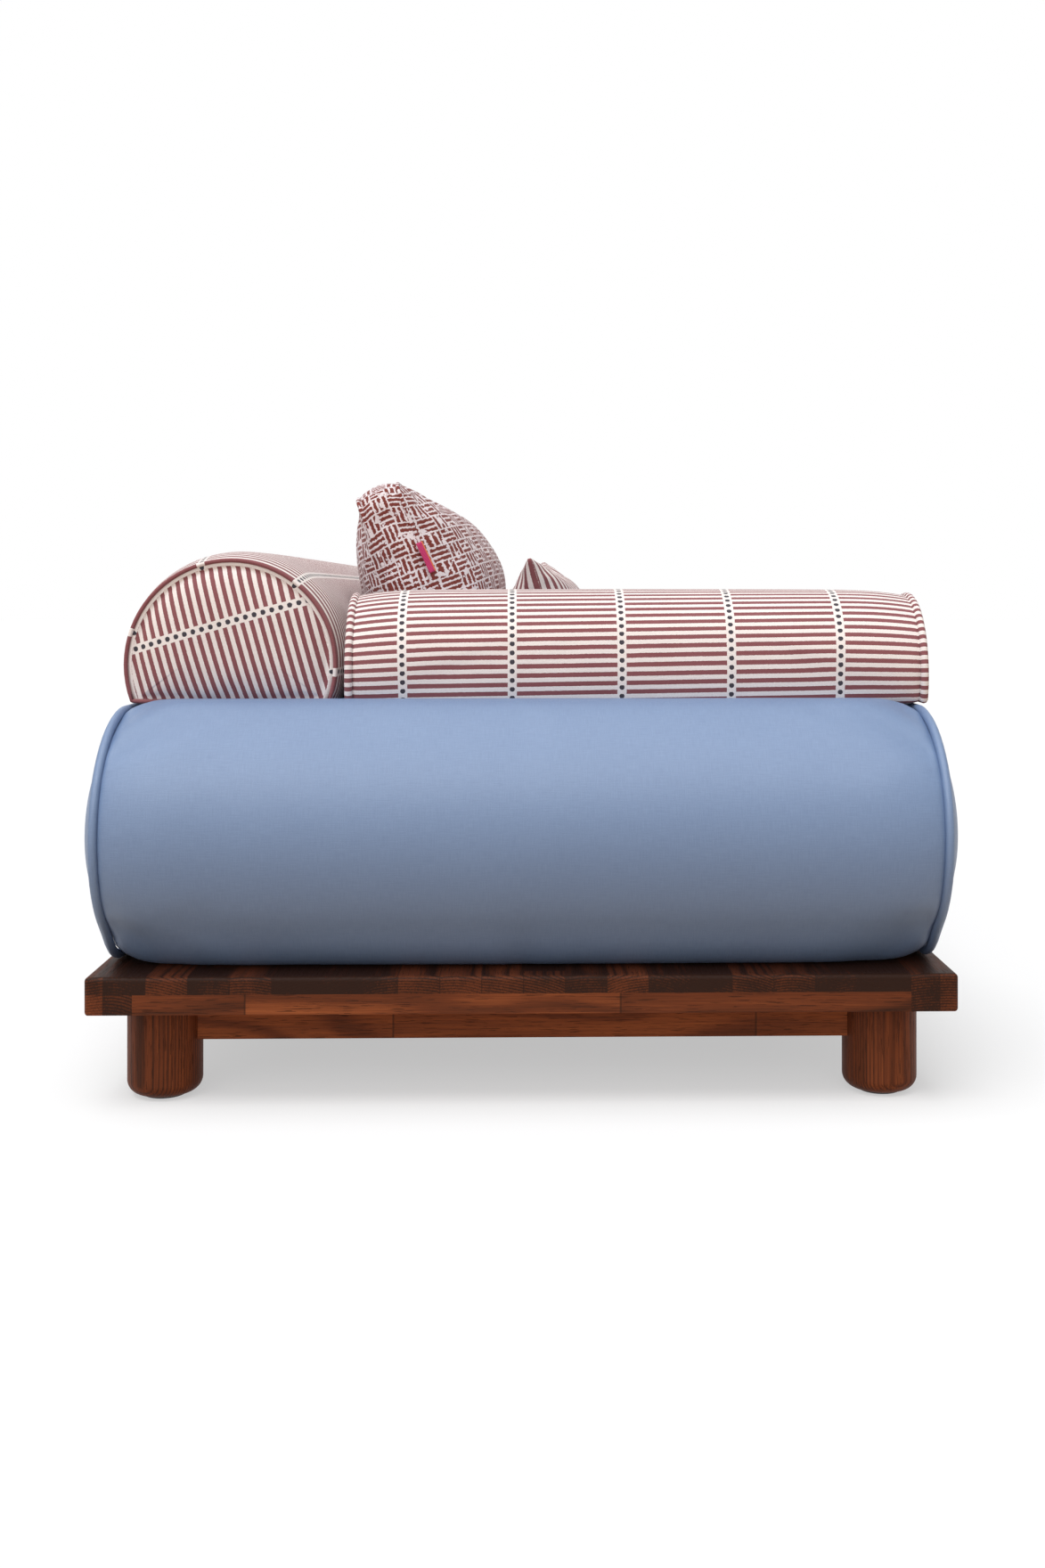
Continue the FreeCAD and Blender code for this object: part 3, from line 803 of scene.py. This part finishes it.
def makeTab(form):
    bm = bmesh.new()
    bmesh.ops.create_grid(bm, x_segments=5, y_segments=22, size=0.5)
    bmesh.ops.scale(bm, vec=(form["width"], form["length"], 1), verts=bm.verts[:])
    layer = bm.loops.layers.uv.new("cloth")
    for face in bm.faces:
        for loop in face.loops:
            loop[layer].uv = (loop.vert.co.y, loop.vert.co.x / form["width"] + 0.5)
    bmesh.ops.solidify(bm, geom=bm.faces[:], thickness=form["thickness"])
    bmesh.ops.recalc_face_normals(bm, faces=bm.faces[:])
    tilt = Matrix.Rotation(math.radians(-form["lean"]), 4, "X") @ turnTo((0, -1, 0), (0, 0, 1), (-1, 0, 0))
    gusset = treeOf(largePillow)
    middle = Vector((0, *form["middle"]))
    for vert in bm.verts:
        height = vert.co.z
        spot = middle + tilt @ Vector((vert.co.x, vert.co.y, 0))
        hit = gusset.ray_cast(spot - Vector((2, 0, 0)), Vector((1, 0, 0)))[0] or spot
        curl = form["curl"] * (0.3 + abs(vert.co.x / form["width"]) * 1.6)  # the ribbon lifts at its edges
        vert.co = Vector((hit.x - height - form["lift"] - curl, spot.y, spot.z))
    bmesh.ops.recalc_face_normals(bm, faces=bm.faces[:])
    addPiece("pillowTabRibbon", bm, tapeFabric, "large_pillow", ["pillow_tab"])


makeTab(tab)
print("tab made")

# floor, light and camera

studio = {"floorColour": (0.41, 0.27, 0.165, 1), "ambient": 0.34, "keyStrength": 2.3, "keySpread": 42,
          "keyFrom": (-0.66, 0.4, 2.6), "fillStrength": 1.1, "fillSpread": 70, "fillFrom": (-2.6, 1.0, 1.5)}
view = {"place": (-2.890, -0.008, 0.594), "focalPixels": 1800, "width": 1173, "height": 1760,
        "yaw": 1.15, "vanish": (595.5, 665)}


def whiteFor(finish, dull, bright):  # white to the camera and in reflections, dull to soft light
    path = finish.tree.nodes.new("ShaderNodeLightPath")
    seen = Wire(finish.tree, path.outputs["Is Camera Ray"])
    for name in ("Is Glossy Ray", "Is Transmission Ray"):
        seen = seen.math("MAXIMUM", seen, Wire(finish.tree, path.outputs[name]))
    return finish.node("ShaderNodeMixShader", sockets={0: seen, 1: dull, 2: bright})


def makeStudio(look):
    bm = bmesh.new()
    bmesh.ops.create_grid(bm, x_segments=1, y_segments=1, size=30)
    mesh = bpy.data.meshes.new("studioFloor")
    bm.to_mesh(mesh)
    bm.free()
    floor = bpy.data.objects.new("studioFloor", mesh)
    bpy.context.scene.collection.objects.link(floor)
    paper = Finish("studioPaper")
    output = paper.tree.nodes["Material Output"]
    soft = paper.node("ShaderNodeBsdfDiffuse", sockets={"Color": look["floorColour"]})
    pale = paper.node("ShaderNodeBsdfDiffuse", sockets={"Color": (0.9, 0.9, 0.9, 1)})
    glow = paper.node("ShaderNodeEmission", sockets={"Color": (1, 1, 1, 1), "Strength": 1.0})
    lit = paper.node("ShaderNodeMixShader", sockets={0: 0.5, 1: pale, 2: glow})
    plug(paper.tree, output.inputs["Surface"], whiteFor(paper, soft, lit))
    mesh.materials.append(paper.material)
    world = bpy.data.worlds.new("studioAir")
    world.use_nodes = True
    bpy.context.scene.world = world
    air = Finish("studioAir", world.node_tree)
    dull = air.node("ShaderNodeBackground", sockets={"Color": (1, 1, 1, 1), "Strength": look["ambient"]})
    bright = air.node("ShaderNodeBackground", sockets={"Color": (1, 1, 1, 1), "Strength": 1.0})
    plug(air.tree, air.tree.nodes["World Output"].inputs["Surface"], whiteFor(air, dull, bright))


def addLamp(name, strength, spread, place):  # a broad, even light from one side of the sky
    lamp = bpy.data.lights.new(name, "SUN")
    lamp.energy, lamp.angle = strength, math.radians(spread)
    holder = bpy.data.objects.new(name, lamp)
    holder.location = place
    holder.rotation_euler = (-Vector(place)).to_track_quat("-Z", "Y").to_euler()
    bpy.context.scene.collection.objects.link(holder)


def addCamera(look):
    eye = bpy.data.cameras.new("photoView")
    eye.sensor_width = 36
    eye.lens = look["focalPixels"] * eye.sensor_width / look["height"]  # the longer side carries the sensor
    yaw = math.radians(look["yaw"])
    drift = look["focalPixels"] * math.tan(yaw)  # the sofa's axis lands this far left of the view's middle
    eye.shift_x = (look["width"] / 2 - look["vanish"][0] - drift) / look["height"]
    eye.shift_y = (look["vanish"][1] - look["height"] / 2) / look["height"]
    holder = bpy.data.objects.new("photoView", eye)
    holder.location = look["place"]
    ahead = Vector((math.cos(yaw), -math.sin(yaw), 0))
    holder.rotation_euler = ahead.to_track_quat("-Z", "Y").to_euler()
    bpy.context.scene.collection.objects.link(holder)
    bpy.context.scene.camera = holder


makeStudio(studio)
addLamp("keyLamp", studio["keyStrength"], studio["keySpread"], studio["keyFrom"])
addLamp("fillLamp", studio["fillStrength"], studio["fillSpread"], studio["fillFrom"])
addCamera(view)
bpy.context.scene.view_settings.view_transform = "Standard"
print("studio made")
